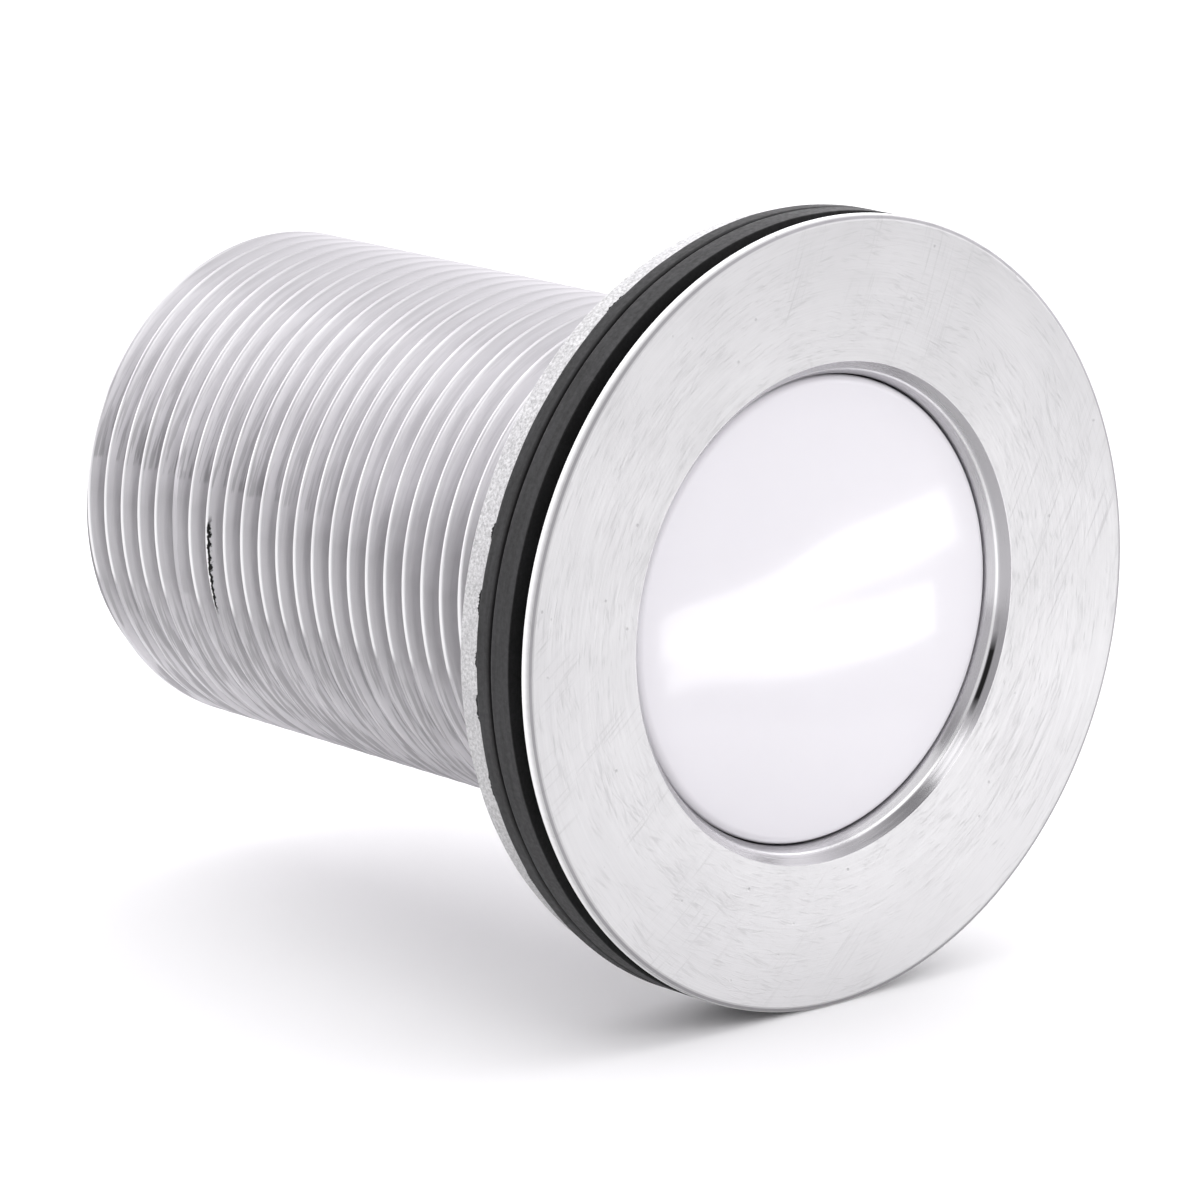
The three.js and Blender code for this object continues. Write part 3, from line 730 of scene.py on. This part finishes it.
def ripple(depth, scale, seed):
    """A small unevenness all over a turned piece, from a few smooth waves."""
    random = np.random.default_rng(seed)
    full_turn = 6.28
    waves = [
        (random.integers(3, 40), random.uniform(0, full_turn), random.uniform(-2, 2)) for _ in range(10)
    ]

    def warp(radius, y, angle):
        shift = sum(np.sin(n * angle + start + lean * y * scale) for n, start, lean in waves)
        return radius + depth * (shift / len(waves) - 0.6), y

    return warp


def gaskets():
    hole = crest_radius + GAP
    edge = 0.06
    front = [(hole, gasket_front), (gasket_radius - edge, gasket_front)]
    corners = [
        front[-1],
        (gasket_radius, gasket_front + edge),
        (gasket_radius, gasket_back),
        (hole, gasket_back),
    ]
    # The front face, in the gap behind the flange's rim, takes the rubber painted near black as shade.
    rows = plain(front, 1) + plain(softened(corners, 0.2)[1:], 0)
    outer = turned("outer_gasket_fine", rows, FINE, ripple(0.03, 1, 3))
    finished(outer, "housing", "outer_gasket", "rubber", RUBBER, SHADE_BLACK_RUBBER)
    uneven = ripple(0.04, 1, 4)
    inner = ring_piece("inner_gasket_fine", hole, inner_radius, inner_front, inner_back, 0.2, warp=uneven)
    finished(inner, "housing", "inner_gasket", "rubber", RUBBER)


# Where the scraps of flash hang, in degrees round the axis: mostly on the seen side
FLASH_PLACES = (264, 271, 279, 289, 252, 236, 12, 75, 118, 160, 204, 326, 347)


def flash_tab(random, number, middle):
    """One torn scrap of mould flash: a short curved strip with a ragged free edge."""
    half_width = random.uniform(0.9, 2.8)
    reach = random.uniform(0.18, 0.4)
    steps = 18
    points = []
    for i in range(steps + 1):
        angle = math.radians(middle + half_width * (i / steps - 0.5) * 2)
        drop = reach * math.sin(math.pi * i / steps) ** 0.5 * random.uniform(0.3, 1.0)
        for radius in (inner_radius - 0.32, inner_radius - 0.14):
            for y in (inner_back - 0.06, inner_back + drop):
                points.append((radius * math.sin(angle), y, radius * math.cos(angle)))
    faces = []
    for i in range(steps):
        a = 4 * i
        b = a + 4
        faces.append((a, b, b + 1, a + 1))
        faces.append((a + 2, a + 3, b + 3, b + 2))
        faces.append((a + 1, b + 1, b + 3, a + 3))
        faces.append((a, a + 2, b + 2, b))
    end = 4 * steps
    faces += [(0, 1, 3, 2), (end, end + 2, end + 3, end + 1)]
    tab = made_mesh(f"gasket_flash_{number:02d}", points, faces)
    # The flash takes the rubber painted near black as shade, where the gasket meets the washer.
    tab.data.materials.append(SHADE_BLACK_RUBBER)
    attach(tab, "housing")


def flash_tabs():
    random = np.random.default_rng(SEED)
    for number, middle in enumerate(FLASH_PLACES):
        flash_tab(random, number, middle)


def backing_washer():
    hole = crest_radius + GAP
    chamfer = 0.3
    corners = [
        (hole, washer_front),
        (washer_radius, washer_front),
        (washer_radius, washer_back - chamfer),
        (washer_radius - chamfer, washer_back),
        (hole, washer_back),
    ]
    piece = closed_turn("backing_washer_fine", corners, 0.15, FINE, ripple(0.03, 2, 5))
    return finished(piece, "housing", "backing_washer", "cast_metal", CAST)


# ---------------------------------------------------------------- the plug


def waves_on_face(radius, y, angle):
    """The glaze pulls the cap's face into soft, shallow hollows."""
    depth = 0.045
    margin = 1.2
    x = radius * np.sin(angle)
    z = radius * np.cos(angle)
    inside = np.clip(1 - (radius / (cap_radius - margin)) ** 4, 0, 1)
    front = np.clip((cap_front + margin - y) / (margin / 2), 0, 1)
    swell = 0
    for height, by_x, by_z, start in ((1, 0.21, 0.16, 0.6), (0.7, -0.12, 0.27, 1.7), (0.5, 0.38, 0, -0.2)):
        swell = swell + height * (1 + np.sin(by_x * x + by_z * z + start))
    return radius, y + depth * swell * inside * front


def plug_cap():
    """The plug's face: a low dome that rolls over into a straight side."""
    rise = 0.84
    shoulder = cap_radius - 0.8
    dome_steps = 18
    dome = []
    for i in range(dome_steps + 1):
        share = i / dome_steps
        dome.append((share * shoulder, cap_front + rise * share**2))
    edge = cap_front + 1.55
    corner_steps = 8
    corner = []
    for i in range(1, corner_steps + 1):
        angle = i / corner_steps * math.pi / 2
        radius = shoulder + (cap_radius - shoulder) * math.sin(angle)
        corner.append((radius, edge - (edge - dome[-1][1]) * math.cos(angle)))
    back = softened([(cap_radius, cap_back - 0.5), (cap_radius - 0.5, cap_back), (0, cap_back)], 0.2)
    piece = turned("plug_cap_fine", plain(dome + corner + back), FINE, waves_on_face)
    return finished(piece, "plug", "plug_cap", "glaze", GLAZE)


def plug_carrier():
    """The disc that holds the cap, with a threaded boss for the stem."""
    hole = THREADED_END_RADIUS + GAP
    disc_back = carrier_front + 1.4
    hole_front = disc_back + 0.4
    chamfer = 0.4
    corners = [
        (0, carrier_front),
        (carrier_radius, carrier_front),
        (carrier_radius, disc_back - chamfer),
        (carrier_radius - chamfer, disc_back),
        (BOSS_RADIUS, disc_back),
        (BOSS_RADIUS, boss_end),
        (hole, boss_end),
        (hole, hole_front),
        (0, hole_front),
    ]
    piece = closed_turn("plug_carrier_fine", corners, 0.12)
    return finished(piece, "plug", "plug_carrier", "brass", BRASS)


def plug_seal():
    """The seal, with a lip that stands clear of the seat's cone."""
    slope = (head_bore_radius - bore_radius) / (seat_end - seat_top)
    clear = GAP * math.hypot(1, slope)
    lip = bore_radius - clear
    back = seal_back - 0.3
    corners = [
        (BOSS_RADIUS + GAP, seal_front),
        (seal_radius, seal_front),
        (lip + 0.35, seal_back - 0.35),
        (lip, seal_back),
        (lip - 2.0, seal_back),
        (lip - 2.4, back),
        (BOSS_RADIUS + 2, back),
        (BOSS_RADIUS + GAP, seal_back),
    ]
    piece = closed_turn("plug_seal_fine", corners, 0.15)
    return finished(piece, "plug", "plug_seal", "seal_rubber", SEAL_RUBBER)


def seal_clamp():
    chamfer = 0.5
    corners = [
        (BOSS_RADIUS + GAP, clamp_front),
        (clamp_radius, clamp_front),
        (clamp_radius, clamp_back - chamfer),
        (clamp_radius - chamfer, clamp_back),
        (BOSS_RADIUS + GAP, clamp_back),
    ]
    piece = closed_turn("seal_clamp_fine", corners, 0.12)
    return finished(piece, "plug", "seal_clamp", "brass", BRASS)


def hex_warp(half_across, front, back):
    """Turns a round prism into a hexagon with chamfered corners."""
    chamfer_circle = half_across * 1.02
    chamfer_slope = 0.55

    def warp(radius, y, angle):
        sector = np.mod(angle, math.pi / 3) - math.pi / 6
        flat = half_across / np.cos(sector)
        outer = radius > half_across * 0.98
        new_radius = np.where(outer, flat * radius / radius.max(), radius)
        over = np.maximum(new_radius - chamfer_circle, 0) * chamfer_slope
        new_y = np.where(outer & (y <= front + NEAR), y + over, y)
        new_y = np.where(outer & (y >= back - NEAR), new_y - over, new_y)
        return new_radius, new_y

    return warp


def nut(name, half_across, hole, front, back):
    chamfer = 0.35
    corners = [
        (hole, front + chamfer),
        (hole + chamfer, front),
        (half_across, front),
        (half_across, back),
        (hole + chamfer, back),
        (hole, back - chamfer),
    ]
    return turned(name, plain(corners), SIX_SIDED, hex_warp(half_across, front, back))


def notch(angle):
    """How deep the notches between the crown's teeth are cut, round the axis."""
    from_middle = np.abs(np.mod(angle * NOTCHES / (2 * math.pi), 1.0) - 0.5)
    return NOTCH_DEPTH * np.clip(1 - 2.4 * from_middle, 0, 1)


def cut_flats(radius, angle, half_across):
    """A round section with two flats, one to each side of the axis."""
    return np.minimum(radius, half_across / np.maximum(np.abs(np.sin(angle)), 1e-3))


def plunger():
    """Threaded end, stem with two flats, notched crown and pin."""
    angles = all_round(MEDIUM)
    shoulder = locknut_back + 0.6
    crown_back = rotor_front - GAP
    crown_length = 3.5
    crown_front = crown_back - crown_length
    edge = 0.15
    end = THREADED_END_RADIUS
    rows = plain([(0, stem_front), (end - 0.4, stem_front), (end - 0.2, stem_front + 0.2)])
    rows += thread(end, 0.42, 0.7, stem_front + 0.25, shoulder - 0.5, angles, chamfer=0.3)
    rows += plain([(end - 0.3, shoulder), (STEM_RADIUS - edge, shoulder), (STEM_RADIUS, shoulder + edge)])
    rows += plain([(STEM_RADIUS, (shoulder + crown_front) / 2), (STEM_RADIUS, crown_front)])
    rows += plain([(rotor_core - edge, crown_front), (rotor_core, crown_front + edge)])
    rows += plain([(rotor_core, crown_back - 0.9), (rotor_core, crown_back), (PIN_RADIUS + 0.7, crown_back)])
    rows += plain([(PIN_RADIUS, crown_back), (PIN_RADIUS, pin_end - 0.2)])
    rows += plain([(PIN_RADIUS - 0.2, pin_end), (0, pin_end)])

    def warp(radius, y, angle):
        on_stem = (y > shoulder - NEAR) & (y < crown_front + NEAR) & (radius <= STEM_RADIUS + NEAR)
        radius = np.where(on_stem, cut_flats(radius, angle, STEM_FLAT), radius)
        on_crown = (y > crown_back - NEAR) & (radius > PIN_RADIUS + 0.5)
        return radius, np.where(on_crown, y - notch(angle), y)

    piece = turned("plunger_fine", rows, MEDIUM, warp)
    return finished(piece, "plug", "plunger", "steel", STEEL)


# ---------------------------------------------------------------- the cartridge


def lobes(angle, half_width):
    """1 on the lobes round the axis and 0 between them, with short slopes."""
    edge = 0.03
    spacing = 2 * math.pi / RIBS
    nearest = np.abs(np.mod(angle + spacing / 2, spacing) - spacing / 2)
    return np.clip((half_width + edge - nearest) / edge, 0, 1)


def twist(angle, y):
    """The indexing slots turn as they go inboard."""
    return angle - math.pi / 2 + INDEX_ANGLE / STROKE * y


def cam_rotor():
    """The rotor: a core with twisted ribs and notches on its outboard face."""
    hole = PIN_RADIUS + GAP
    side_radius = rib_radius - 0.02
    rows = plain([(hole, rotor_front), (hole + 0.6, rotor_front), (rotor_core, rotor_front)])
    steps = 8
    for i in range(steps + 1):
        rows += plain([(rotor_core, rotor_front + (rotor_back - rotor_front) * (0.04 + 0.92 * i / steps))])
    rows += plain([(rotor_core - 0.15, rotor_back), (hole, rotor_back)])

    def warp(radius, y, angle):
        on_side = (radius > rotor_core - 0.01) & (y > rotor_front + 0.1)
        rib = lobes(twist(angle, y), RIB_HALF_ANGLE)
        radius = np.where(on_side, rotor_core + (side_radius - rotor_core) * rib, radius)
        on_face = (y < rotor_front + NEAR) & (radius > hole + 0.3)
        return radius, np.where(on_face, y + notch(angle), y)

    piece = turned("cam_rotor_fine", rows, RIBBED, warp)
    return finished(piece, "rotor", "cam_rotor", "grey_acetal", GREY_ACETAL)


def cam_sleeve():
    """The fixed sleeve, with the twisted slots that the ribs run in."""
    slot_radius = rib_radius + GAP
    land_radius = rib_radius - 1
    steps = 36
    rows = plain([(sleeve_outer, sleeve_front), (sleeve_outer, sleeve_back)])
    for i in range(steps + 1):
        rows += plain([(land_radius, sleeve_back + (sleeve_front - sleeve_back) * i / steps)])

    def warp(radius, y, angle):
        slot = lobes(twist(angle, y), SLOT_HALF_ANGLE)
        inner = radius < sleeve_outer - 0.1
        return np.where(inner, land_radius + (slot_radius - land_radius) * slot, radius), y

    piece = turned("cam_sleeve_fine", rows, RIBBED, warp)
    return finished(piece, "housing", "cam_sleeve", "acetal", ACETAL)


def swept(name, path, wire, sides=14):
    """A round wire along a path of points, closed at both ends."""
    path = np.asarray(path)
    along = np.gradient(path, axis=0)
    along /= np.linalg.norm(along, axis=1)[:, None]
    out = path * np.array([1, 0, 1])
    out /= np.linalg.norm(out, axis=1)[:, None]
    out -= (out * along).sum(1)[:, None] * along
    out /= np.linalg.norm(out, axis=1)[:, None]
    side = np.cross(along, out)
    turn = np.arange(sides) * 2 * math.pi / sides
    rings = path[:, None] + wire * (
        np.cos(turn)[None, :, None] * out[:, None] + np.sin(turn)[None, :, None] * side[:, None]
    )
    faces = []
    for i in range(len(path) - 1):
        for j in range(sides):
            k = (j + 1) % sides
            faces.append((i * sides + j, i * sides + k, (i + 1) * sides + k, (i + 1) * sides + j))
    faces.append(tuple(range(sides))[::-1])
    faces.append(tuple((len(path) - 1) * sides + j for j in range(sides)))
    return made_mesh(name, rings.reshape(-1, 3), faces)


def return_spring():
    wire = 0.44
    mean = spring_outer - wire - 0.02
    coils = 5
    dead = 0.75
    low = spring_front + wire
    high = spring_back - wire
    creep = 1.02 * 2 * wire * dead
    path = []
    steps = 260
    for i in range(steps + 1):
        turn = coils * i / steps
        active = min(max((turn - dead) / (coils - 2 * dead), 0), 1)
        ends = min(turn, dead) + max(turn - coils + dead, 0)
        y = low + ends / dead * creep + active * (high - low - 2 * creep)
        path.append((mean * math.sin(2 * math.pi * turn), y, mean * math.cos(2 * math.pi * turn)))
    piece = swept("return_spring_fine", path, wire)
    piece.data.materials.append(STEEL)
    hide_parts("return_spring")
    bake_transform(piece)
    return piece


def cartridge_barrel():
    """A closed cup with a threaded spigot on its base."""
    angles = all_round(MEDIUM)
    base_back = bridge_front - GAP
    bore = barrel_radius - BARREL_WALL
    chamber = bore - 0.7
    floor = base_back - 2.5
    chamfer = 0.8
    corners = [
        (0, floor),
        (chamber, floor),
        (chamber, sleeve_back + GAP),
        (bore, sleeve_back + GAP),
        (bore, barrel_front),
        (barrel_radius, barrel_front),
        (barrel_radius, base_back - chamfer),
        (barrel_radius - chamfer, base_back),
        (SPIGOT_RADIUS, base_back),
    ]
    rows = plain(softened(corners, 0.15))
    rows += plain([(SPIGOT_RADIUS - 0.1, base_back + 0.5)])
    rows += thread(SPIGOT_RADIUS, 0.45, 0.8, base_back + 0.6, spigot_end - 0.25, angles, chamfer=0.4)
    rows += plain([(SPIGOT_RADIUS - 0.6, spigot_end), (0, spigot_end)])
    piece = turned("cartridge_barrel_fine", rows[::-1], MEDIUM)
    return finished(piece, "housing", "cartridge_barrel", "brass", BRASS)


def barrel_bush():
    """A flanged bush with a pocket for the wiper and a hole with two flats."""
    pocket = wiper_outer + GAP
    flat = STEM_FLAT + GAP
    hole = STEM_RADIUS + GAP
    flange = barrel_front - GAP
    plug_radius = barrel_radius - BARREL_WALL - GAP
    pocket_floor = bush_front + 1.9
    chamfer = 0.6
    corners = [
        (pocket, bush_front),
        (barrel_radius - chamfer, bush_front),
        (barrel_radius, bush_front + chamfer),
        (barrel_radius, flange),
        (plug_radius, flange),
        (plug_radius, bush_end),
        (hole, bush_end),
        (hole, pocket_floor),
        (pocket, pocket_floor),
    ]

    def warp(radius, y, angle):
        return np.where(radius < hole + 0.12, cut_flats(radius, angle, flat), radius), y

    piece = closed_turn("barrel_bush_fine", corners, 0.1, warp=warp)
    return finished(piece, "housing", "barrel_bush", "acetal", ACETAL)


def stem_wiper():
    """An O-ring in the bush's pocket."""
    wire = (wiper_back - wiper_front) / 2
    mean = wiper_outer - wire
    middle = (wiper_back + wiper_front) / 2
    steps = 20
    circle = []
    for i in range(steps):
        angle = i / steps * 2 * math.pi
        circle.append((mean - wire * math.cos(angle), middle - wire * math.sin(angle)))
    piece = turned("stem_wiper_fine", plain(circle), MEDIUM)
    return finished(piece, "housing", "stem_wiper", "seal_rubber", SEAL_RUBBER)


def bridge():
    """A ring and a hub joined by four arms, with cast edges."""
    inner = bridge_radius - 2
    hub = 0.72 * barrel_radius
    hole = SPIGOT_RADIUS + GAP
    ring_part = ring_piece("bridge_fine", inner, bridge_radius, bridge_front, bridge_back, 0.25, MEDIUM)
    hub_part = ring_piece("bridge_hub", hole, hub, bridge_front, bridge_back, 0.3, MEDIUM)
    middle = (bridge_front + bridge_back) / 2
    start = hole + 1.2
    reach = (inner + bridge_radius) / 2
    size = (reach - start, bridge_back - bridge_front - 1, 2.6)
    centre = ((reach + start) / 2, middle, 0)
    quarter = math.pi / 2
    arms = [block(f"bridge_arm_{i}", size, centre, quarter / 2 + i * quarter) for i in range(4)]
    piece = united(ring_part, hub_part, *arms)
    bevel = piece.modifiers.new("cast edges", "BEVEL")
    bevel.width = 0.18 * MM
    bevel.segments = 2
    bevel.limit_method = "ANGLE"
    bevel.angle_limit = math.radians(50)
    piece.modifiers.move(len(piece.modifiers) - 1, 0)
    return finished(piece, "housing", "bridge", "brass", BRASS)


def bridge_clip():
    """A flat wire clip, open on one side, with an eye at each end."""
    inner = bore_radius - 1.1
    outer = bore_radius + CLIP_GROOVE - GAP
    opening = 0.28
    steps = 120
    corners = [(inner, clip_front), (outer, clip_front), (outer, clip_back), (inner, clip_back)]
    section = softened(corners, 0.15, closed=True)
    count = len(section)
    points = []
    for i in range(steps + 1):
        angle = opening + (2 * math.pi - 2 * opening) * i / steps
        for radius, y in section:
            points.append((radius * math.cos(angle), y, -radius * math.sin(angle)))
    faces = []
    for i in range(steps):
        for j in range(count):
            k = (j + 1) % count
            faces.append((i * count + j, (i + 1) * count + j, (i + 1) * count + k, i * count + k))
    faces.append(tuple(range(count)))
    faces.append(tuple(steps * count + j for j in range(count))[::-1])
    piece = made_mesh("bridge_clip_fine", points, faces)
    eye_radius = 1.5
    reach = bore_radius - GAP - eye_radius
    eyes = []
    for side in (-1, 1):
        angle = side * (opening + eye_radius / reach)
        eye = ring_piece(f"clip_eye_{side}", 0.6, eye_radius, clip_front, clip_back, 0.12, 40)
        for vertex in eye.data.vertices:
            vertex.co.x += reach * math.cos(angle) * MM
            vertex.co.z += reach * math.sin(angle) * MM
        eyes.append(eye)
    return finished(united(piece, *eyes), "housing", "bridge_clip", "steel", STEEL)


def hub_fasteners():
    """The washer and nut on the spigot, and the locknut on the stem."""
    hole = SPIGOT_RADIUS + GAP
    size = (hole, hub_washer_radius, hub_washer_front, hub_washer_back)
    washer = ring_piece("hub_washer_fine", *size, 0.12, MEDIUM)
    finished(washer, "housing", "hub_washer", "steel", STEEL)
    half = 3.5 * SPIGOT_RADIUS / 2
    piece = nut("hub_nut_fine", half, hole, hub_nut_front, hub_nut_back)
    finished(piece, "housing", "hub_nut", "brass", BRASS)
    half = 1.4 * STEM_RADIUS
    piece = nut("stem_locknut_fine", half, THREADED_END_RADIUS + GAP, locknut_front, locknut_back)
    finished(piece, "plug", "stem_locknut", "brass", BRASS)


# ---------------------------------------------------------------- studio


def aimed(thing, place, target):
    thing.location = place
    thing.rotation_euler = (Vector(target) - Vector(place)).to_track_quat("-Z", "Y").to_euler()


def softbox(name, place, target, size, radiance, turn=0.0):
    """A plain rectangular light of even brightness, that the camera doesn't see."""
    light = bpy.data.lights.new(name, "AREA")
    light.shape = "RECTANGLE"
    light.size, light.size_y = size
    light.energy = radiance * math.pi * size[0] * size[1]
    box = bpy.data.objects.new(name, light)
    bpy.context.collection.objects.link(box)
    aimed(box, place, target)
    box.rotation_euler.rotate_axis("Z", turn)
    box.visible_camera = False


def sky():
    """A pale surround: dimmer overhead and below the horizon, brightest on the side away from the camera."""
    up = (0, 0, 1)
    away = (0.8, 0.6, 0)
    world = bpy.data.worlds.new("studio")
    bpy.context.scene.world = world
    world.use_nodes = True
    g = Nodes(world.node_tree, "Generated")
    strength = 1.0
    for direction, low, high, to_low, to_high in (
        (up, 0.5, 0.95, 0.82, 0.3),
        (up, 0.0, 0.12, 0.85, 1.0),
        (away, -0.7, 0.6, 1.0, 3.0),
    ):
        along = g.vector("DOT_PRODUCT", g.place, direction).outputs["Value"]
        inputs = {0: along, 1: low, 2: high, 3: to_low, 4: to_high}
        level = g.node("ShaderNodeMapRange", inputs, interpolation_type="SMOOTHSTEP").outputs[0]
        strength = g.product(strength, level)
    g.set(g.tree.nodes["Background"], {"Color": (0.985, 0.97, 1.0, 1), "Strength": strength})


def studio():
    """A wide pale floor under the fitting, the surround and the lights."""
    floor = bpy.data.objects.new("floor", bpy.data.meshes.new("floor"))
    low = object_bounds()[0].z
    half = 6.0
    corners = [(-half, -half, low), (half, -half, low), (half, half, low), (-half, half, low)]
    floor.data.from_pydata(corners, [], [(0, 1, 2, 3)])
    floor.data.materials.append(floor_paint())
    bpy.context.collection.objects.link(floor)
    floor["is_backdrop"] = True
    sky()
    middle = (0, 0.02, 0)
    softbox("top", (0.0, 0.1, 1.2), middle, (1.3, 1.1), 1.0)
    softbox("front top", (-0.36, -0.74, 0.87), middle, (0.42, 0.42), 2.2)
    key_strips()


def key_strips():
    """Two narrow strips where the plug's face mirrors the camera. They meet at one end."""
    crown = Vector((0, cap_front * MM, 0))
    mirrored = Vector((-VIEW.x, VIEW.y, -VIEW.z))
    middle = crown + mirrored * 0.08
    for name, lift, tilt, length in (
        ("key strip upper", 0.0038, 17, 0.05),
        ("key strip lower", -0.004, 9, 0.042),
    ):
        place = middle + Vector((0, 0, lift))
        softbox(name, place, crown, (length, 0.007), 2.0, math.radians(tilt))


AZIMUTH = math.radians(-41.1)
ELEVATION = math.radians(13.43)
VIEW = Vector(
    (
        math.sin(AZIMUTH) * math.cos(ELEVATION),
        -math.cos(AZIMUTH) * math.cos(ELEVATION),
        math.sin(ELEVATION),
    )
)


def camera():
    """The photographed view: from the front left, a little above, with a long lens."""
    distance = 0.508
    aim = Vector((-0.0138, 0.0032, 0.0013))
    data = bpy.data.cameras.new("camera")
    data.sensor_width = 36
    data.lens = 194.8
    data.clip_start = 0.01
    made = bpy.data.objects.new("camera", data)
    bpy.context.collection.objects.link(made)
    aimed(made, aim + VIEW * distance, aim)
    bpy.context.scene.camera = made


bpy.context.scene.view_settings.view_transform = "Standard"
camera()
hull_body()
gaskets()
flash_tabs()
backing_washer()
plug_cap()
plug_carrier()
plug_seal()
seal_clamp()
plunger()
cam_rotor()
cam_sleeve()
return_spring()
cartridge_barrel()
barrel_bush()
stem_wiper()
bridge()
bridge_clip()
hub_fasteners()
studio()
